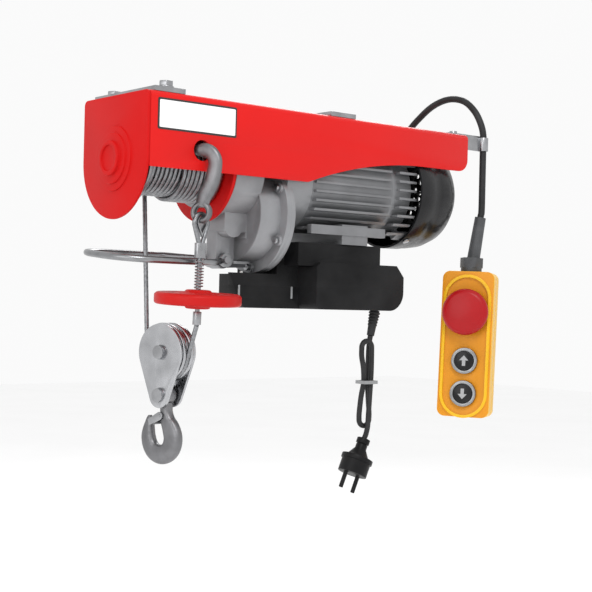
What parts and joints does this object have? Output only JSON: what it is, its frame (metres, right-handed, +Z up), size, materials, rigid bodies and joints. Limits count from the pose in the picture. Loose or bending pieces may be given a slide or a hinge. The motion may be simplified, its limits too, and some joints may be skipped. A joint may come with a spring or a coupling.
{
  "type": "electric wire rope hoist",
  "caption": "Small electric wire rope hoist: folded steel frame, geared drum, finned motor, pulley block with latched hook, limit lever, hand pendant and mains plug.",
  "frame": {"origin": "middle of the four clamp bolts, in the top face of the frame that the beam is clamped against", "axes": "+X from the drum end towards the motor end, +Z up, +Y to the side away from the rope anchor"},
  "size_m": [0.5275, 0.1935, 0.4714],
  "materials": {
    "red_sheet": "gloss red paint",
    "dark_red_sheet": "gloss dark red paint",
    "zinc": "bright zinc",
    "steel": "machined steel",
    "forged": "forged, zinc plated",
    "rope": "galvanised wire rope",
    "bronze": "sintered bronze",
    "cast_alu": "cast, painted grey",
    "windings": "laminations and copper",
    "black_plastic": "matt black",
    "white_plastic": "white",
    "yellow_plastic": "gloss yellow",
    "stop_red": "gloss red",
    "cord_black": "matt black",
    "grey_plastic": "grey",
    "collar_grey": "silver grey",
    "red_plastic": "gloss red"
  },
  "bodies": {
    "hoist": {"frame_channel": "red_sheet", "front_plate": "dark_red_sheet", "bulkhead": "dark_red_sheet", "bearings": "zinc", "clamp_straps": "zinc", "clamp_bolts": "zinc", "clamp_washers": "zinc", "clamp_nuts": "zinc", "anchor_hook": "forged", "rope_fittings": "zinc", "rope_end": "rope", "gearbox_housing": "cast_alu", "gearbox_cover": "cast_alu", "layshaft_bushes": "bronze", "motor_housing": "cast_alu", "stator_core": "windings", "rear_end_shield": "cast_alu", "fan_cover": "black_plastic", "housing_screws": "zinc", "control_box": "black_plastic", "control_box_cover": "black_plastic", "small_screws": "zinc", "capacitor": "white_plastic", "limit_switch": "white_plastic", "cord_glands": "black_plastic", "power_cord": "cord_black", "power_cord_hank": "cord_black", "cord_ties": "grey_plastic", "mains_plug": "black_plastic", "pendant_bracket": "zinc", "pendant_cord": "cord_black", "pendant_cord_coil": "cord_black", "pendant_front": "yellow_plastic", "pendant_back": "yellow_plastic", "pendant_boot": "cord_black", "pendant_contacts": "grey_plastic", "button_collars": "collar_grey", "lever_pivot_pin": "zinc", "stop_spring": "zinc"},
    "drum": {"drum_barrel": "forged", "rope_winding": "rope", "drum_shaft": "steel", "drum_gear": "steel"},
    "layshaft": {"lay_shaft": "steel", "lay_gear": "steel"},
    "rotor": {"rotor": "steel", "cooling_fan": "black_plastic"},
    "hook_block": {"block_plates": "zinc", "block_pins": "zinc", "rope_bight": "rope", "rope_fall_drum": "rope", "rope_fall_anchor": "rope"},
    "sheave": {"sheave": "steel"},
    "load_hook": {"load_hook": "forged"},
    "safety_latch": {"safety_latch": "zinc"},
    "rope_stop": {"rope_stop_disc": "red_plastic"},
    "limit_lever": {"limit_lever": "zinc"},
    "e_stop": {"e_stop_button": "stop_red"},
    "up_button": {"up_button": "black_plastic"},
    "down_button": {"down_button": "black_plastic"}
  },
  "joints": [
    {"name": "drum_spin", "type": "hinge", "parent": "hoist", "child": "drum", "pos_m": [-0.082, 0, -0.064], "axis": [1, 0, 0], "range_deg": [-1570, 0]},
    {"name": "layshaft_spin", "type": "hinge", "parent": "hoist", "child": "layshaft", "pos_m": [0.008, 0, -0.109], "axis": [1, 0, 0], "range_deg": [-10, 7004]},
    {"name": "rotor_spin", "type": "hinge", "parent": "hoist", "child": "rotor", "pos_m": [0.128, 0, -0.073], "axis": [1, 0, 0], "range_deg": [-48975, 20]},
    {"name": "hook_block_lift", "type": "slide", "parent": "hoist", "child": "hook_block", "axis": [0, 0, 1], "range_m": [-0.5027, 0], "deforming": ["rope_fall_drum", "rope_fall_anchor"]},
    {"name": "sheave_spin", "type": "hinge", "parent": "hook_block", "child": "sheave", "pos_m": [-0.083, -0.016, -0.258], "axis": [0.972, 0.2351, 0], "range_deg": [-1032, 5]},
    {"name": "hook_swing", "type": "hinge", "parent": "hook_block", "child": "load_hook", "pos_m": [-0.083, -0.016, -0.302], "axis": [0.972, 0.2351, 0], "range_deg": [-30, 30]},
    {"name": "latch_open", "type": "hinge", "parent": "load_hook", "child": "safety_latch", "pos_m": [-0.08335, -0.01454, -0.323], "axis": [-0.972, -0.2351, 0], "range_deg": [0, 45], "stiffness_Nm_per_rad": 0.02, "springref_deg": -28.65},
    {"name": "rope_stop_lift", "type": "slide", "parent": "hoist", "child": "rope_stop", "axis": [-0.0084, -0.0531, 0.9986], "range_m": [0, 0.018], "stiffness_N_per_m": 400, "springref_m": -0.02, "deforming": ["stop_spring"]},
    {"name": "limit_lever_lift", "type": "hinge", "parent": "hoist", "child": "limit_lever", "pos_m": [-0.01, 0, -0.161], "axis": [0, 1, 0], "range_deg": [0, 9.5]},
    {"name": "e_stop_press", "type": "slide", "parent": "hoist", "child": "e_stop", "axis": [0.8382, 0.5446, -0.0293], "range_m": [0, 0.005], "stiffness_N_per_m": 1000, "springref_m": -0.004},
    {"name": "up_press", "type": "slide", "parent": "hoist", "child": "up_button", "axis": [0.8382, 0.5446, -0.0293], "range_m": [0, 0.0035], "stiffness_N_per_m": 400, "springref_m": -0.004},
    {"name": "down_press", "type": "slide", "parent": "hoist", "child": "down_button", "axis": [0.8382, 0.5446, -0.0293], "range_m": [0, 0.0035], "stiffness_N_per_m": 400, "springref_m": -0.004}
  ],
  "couplings": [
    {"joint": "layshaft_spin", "follows": "drum_spin", "ratio": -4.4545},
    {"joint": "rotor_spin", "follows": "drum_spin", "ratio": 31.182},
    {"joint": "hook_block_lift", "follows": "drum_spin", "m_per_rad": 0.01831},
    {"joint": "sheave_spin", "follows": "drum_spin", "ratio": 0.65393}
  ]
}
